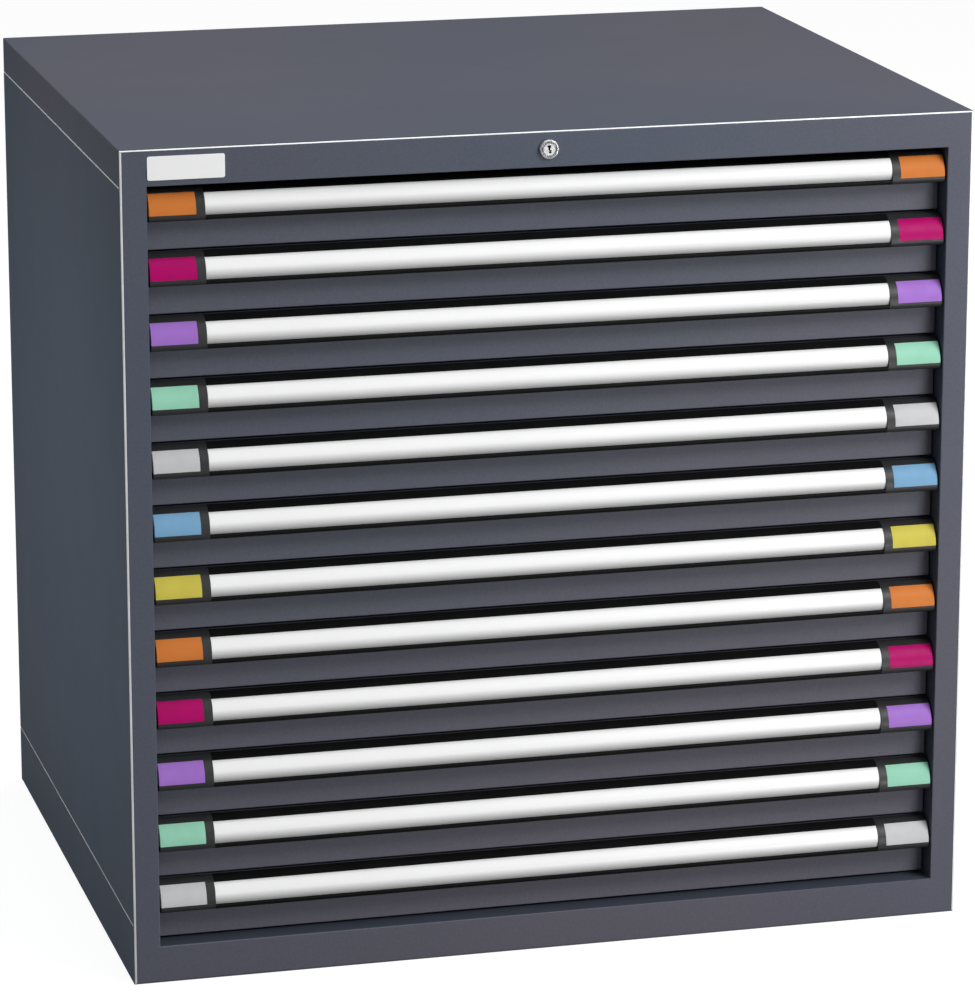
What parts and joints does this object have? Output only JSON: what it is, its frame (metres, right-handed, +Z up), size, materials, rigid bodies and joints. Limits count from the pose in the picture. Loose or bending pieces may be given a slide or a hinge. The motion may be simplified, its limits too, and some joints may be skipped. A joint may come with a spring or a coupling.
{
  "type": "microscope slide cabinet",
  "caption": "Steel cabinet of shallow lockable drawers on telescopic runners, with black grip rails, white label strips and coloured end tabs.",
  "frame": {"origin": "on the floor, at the centre of the cabinet's outline", "axes": "+X to the user's right across the drawer fronts, +Y from the front to the back, +Z up"},
  "size_m": [0.717, 0.5764, 0.7],
  "materials": {
    "cabinet_paint": "satin powder coat",
    "drawer_paint": "satin powder coat",
    "zinc_steel": "zinc plated",
    "rivet_steel": "plain",
    "lock_chrome": "polished",
    "grip_black": "satin",
    "label_plastic": "satin"
  },
  "bodies": {
    "cabinet": {"front_frame": "cabinet_paint", "top_cover": "cabinet_paint", "base_tray": "cabinet_paint", "side_panel_left": "cabinet_paint", "side_panel_right": "cabinet_paint", "back_panel": "cabinet_paint", "back_rivets": "rivet_steel", "runner_posts": "zinc_steel", "cabinet_runners": "zinc_steel", "lock_housing": "lock_chrome"},
    "lock_cylinder": {"lock_plug": "lock_chrome"},
    "locking_bar": {"lock_bar": "zinc_steel"},
    "drawer_01": {"drawer_01_tray": "drawer_paint", "drawer_01_grip": "grip_black", "drawer_01_labels": "label_plastic"},
    "runners_01": {"drawer_01_middle_runners": "zinc_steel"},
    "drawer_02": {"drawer_02_tray": "drawer_paint", "drawer_02_grip": "grip_black", "drawer_02_labels": "label_plastic"},
    "runners_02": {"drawer_02_middle_runners": "zinc_steel"},
    "drawer_03": {"drawer_03_tray": "drawer_paint", "drawer_03_grip": "grip_black", "drawer_03_labels": "label_plastic"},
    "runners_03": {"drawer_03_middle_runners": "zinc_steel"},
    "drawer_04": {"drawer_04_tray": "drawer_paint", "drawer_04_grip": "grip_black", "drawer_04_labels": "label_plastic"},
    "runners_04": {"drawer_04_middle_runners": "zinc_steel"},
    "drawer_05": {"drawer_05_tray": "drawer_paint", "drawer_05_grip": "grip_black", "drawer_05_labels": "label_plastic"},
    "runners_05": {"drawer_05_middle_runners": "zinc_steel"},
    "drawer_06": {"drawer_06_tray": "drawer_paint", "drawer_06_grip": "grip_black", "drawer_06_labels": "label_plastic"},
    "runners_06": {"drawer_06_middle_runners": "zinc_steel"},
    "drawer_07": {"drawer_07_tray": "drawer_paint", "drawer_07_grip": "grip_black", "drawer_07_labels": "label_plastic"},
    "runners_07": {"drawer_07_middle_runners": "zinc_steel"},
    "drawer_08": {"drawer_08_tray": "drawer_paint", "drawer_08_grip": "grip_black", "drawer_08_labels": "label_plastic"},
    "runners_08": {"drawer_08_middle_runners": "zinc_steel"},
    "drawer_09": {"drawer_09_tray": "drawer_paint", "drawer_09_grip": "grip_black", "drawer_09_labels": "label_plastic"},
    "runners_09": {"drawer_09_middle_runners": "zinc_steel"},
    "drawer_10": {"drawer_10_tray": "drawer_paint", "drawer_10_grip": "grip_black", "drawer_10_labels": "label_plastic"},
    "runners_10": {"drawer_10_middle_runners": "zinc_steel"},
    "drawer_11": {"drawer_11_tray": "drawer_paint", "drawer_11_grip": "grip_black", "drawer_11_labels": "label_plastic"},
    "runners_11": {"drawer_11_middle_runners": "zinc_steel"},
    "drawer_12": {"drawer_12_tray": "drawer_paint", "drawer_12_grip": "grip_black", "drawer_12_labels": "label_plastic"},
    "runners_12": {"drawer_12_middle_runners": "zinc_steel"}
  },
  "joints": [
    {"name": "locking_bar_drop", "type": "slide", "parent": "cabinet", "child": "locking_bar", "axis": [0, 0, -1], "range_m": [0, 0.00848]},
    {"name": "lock_turn", "type": "hinge", "parent": "cabinet", "child": "lock_cylinder", "pos_m": [-0.006, -0.2852, 0.685], "axis": [0, 1, 0], "range_deg": [0, 90]},
    {"name": "drawer_01_slide", "type": "slide", "parent": "cabinet", "child": "drawer_01", "axis": [0, -1, 0], "range_m": [0, 0.47]},
    {"name": "runners_01_slide", "type": "slide", "parent": "cabinet", "child": "runners_01", "axis": [0, -1, 0], "range_m": [0, 0.235]},
    {"name": "drawer_02_slide", "type": "slide", "parent": "cabinet", "child": "drawer_02", "axis": [0, -1, 0], "range_m": [0, 0.47]},
    {"name": "runners_02_slide", "type": "slide", "parent": "cabinet", "child": "runners_02", "axis": [0, -1, 0], "range_m": [0, 0.235]},
    {"name": "drawer_03_slide", "type": "slide", "parent": "cabinet", "child": "drawer_03", "axis": [0, -1, 0], "range_m": [0, 0.47]},
    {"name": "runners_03_slide", "type": "slide", "parent": "cabinet", "child": "runners_03", "axis": [0, -1, 0], "range_m": [0, 0.235]},
    {"name": "drawer_04_slide", "type": "slide", "parent": "cabinet", "child": "drawer_04", "axis": [0, -1, 0], "range_m": [0, 0.47]},
    {"name": "runners_04_slide", "type": "slide", "parent": "cabinet", "child": "runners_04", "axis": [0, -1, 0], "range_m": [0, 0.235]},
    {"name": "drawer_05_slide", "type": "slide", "parent": "cabinet", "child": "drawer_05", "axis": [0, -1, 0], "range_m": [0, 0.47]},
    {"name": "runners_05_slide", "type": "slide", "parent": "cabinet", "child": "runners_05", "axis": [0, -1, 0], "range_m": [0, 0.235]},
    {"name": "drawer_06_slide", "type": "slide", "parent": "cabinet", "child": "drawer_06", "axis": [0, -1, 0], "range_m": [0, 0.47]},
    {"name": "runners_06_slide", "type": "slide", "parent": "cabinet", "child": "runners_06", "axis": [0, -1, 0], "range_m": [0, 0.235]},
    {"name": "drawer_07_slide", "type": "slide", "parent": "cabinet", "child": "drawer_07", "axis": [0, -1, 0], "range_m": [0, 0.47]},
    {"name": "runners_07_slide", "type": "slide", "parent": "cabinet", "child": "runners_07", "axis": [0, -1, 0], "range_m": [0, 0.235]},
    {"name": "drawer_08_slide", "type": "slide", "parent": "cabinet", "child": "drawer_08", "axis": [0, -1, 0], "range_m": [0, 0.47]},
    {"name": "runners_08_slide", "type": "slide", "parent": "cabinet", "child": "runners_08", "axis": [0, -1, 0], "range_m": [0, 0.235]},
    {"name": "drawer_09_slide", "type": "slide", "parent": "cabinet", "child": "drawer_09", "axis": [0, -1, 0], "range_m": [0, 0.47]},
    {"name": "runners_09_slide", "type": "slide", "parent": "cabinet", "child": "runners_09", "axis": [0, -1, 0], "range_m": [0, 0.235]},
    {"name": "drawer_10_slide", "type": "slide", "parent": "cabinet", "child": "drawer_10", "axis": [0, -1, 0], "range_m": [0, 0.47]},
    {"name": "runners_10_slide", "type": "slide", "parent": "cabinet", "child": "runners_10", "axis": [0, -1, 0], "range_m": [0, 0.235]},
    {"name": "drawer_11_slide", "type": "slide", "parent": "cabinet", "child": "drawer_11", "axis": [0, -1, 0], "range_m": [0, 0.47]},
    {"name": "runners_11_slide", "type": "slide", "parent": "cabinet", "child": "runners_11", "axis": [0, -1, 0], "range_m": [0, 0.235]},
    {"name": "drawer_12_slide", "type": "slide", "parent": "cabinet", "child": "drawer_12", "axis": [0, -1, 0], "range_m": [0, 0.47]},
    {"name": "runners_12_slide", "type": "slide", "parent": "cabinet", "child": "runners_12", "axis": [0, -1, 0], "range_m": [0, 0.235]}
  ],
  "couplings": [
    {"joint": "lock_turn", "follows": "locking_bar_drop", "rad_per_m": 185.13},
    {"joint": "runners_01_slide", "follows": "drawer_01_slide", "ratio": 0.5},
    {"joint": "runners_02_slide", "follows": "drawer_02_slide", "ratio": 0.5},
    {"joint": "runners_03_slide", "follows": "drawer_03_slide", "ratio": 0.5},
    {"joint": "runners_04_slide", "follows": "drawer_04_slide", "ratio": 0.5},
    {"joint": "runners_05_slide", "follows": "drawer_05_slide", "ratio": 0.5},
    {"joint": "runners_06_slide", "follows": "drawer_06_slide", "ratio": 0.5},
    {"joint": "runners_07_slide", "follows": "drawer_07_slide", "ratio": 0.5},
    {"joint": "runners_08_slide", "follows": "drawer_08_slide", "ratio": 0.5},
    {"joint": "runners_09_slide", "follows": "drawer_09_slide", "ratio": 0.5},
    {"joint": "runners_10_slide", "follows": "drawer_10_slide", "ratio": 0.5},
    {"joint": "runners_11_slide", "follows": "drawer_11_slide", "ratio": 0.5},
    {"joint": "runners_12_slide", "follows": "drawer_12_slide", "ratio": 0.5}
  ]
}
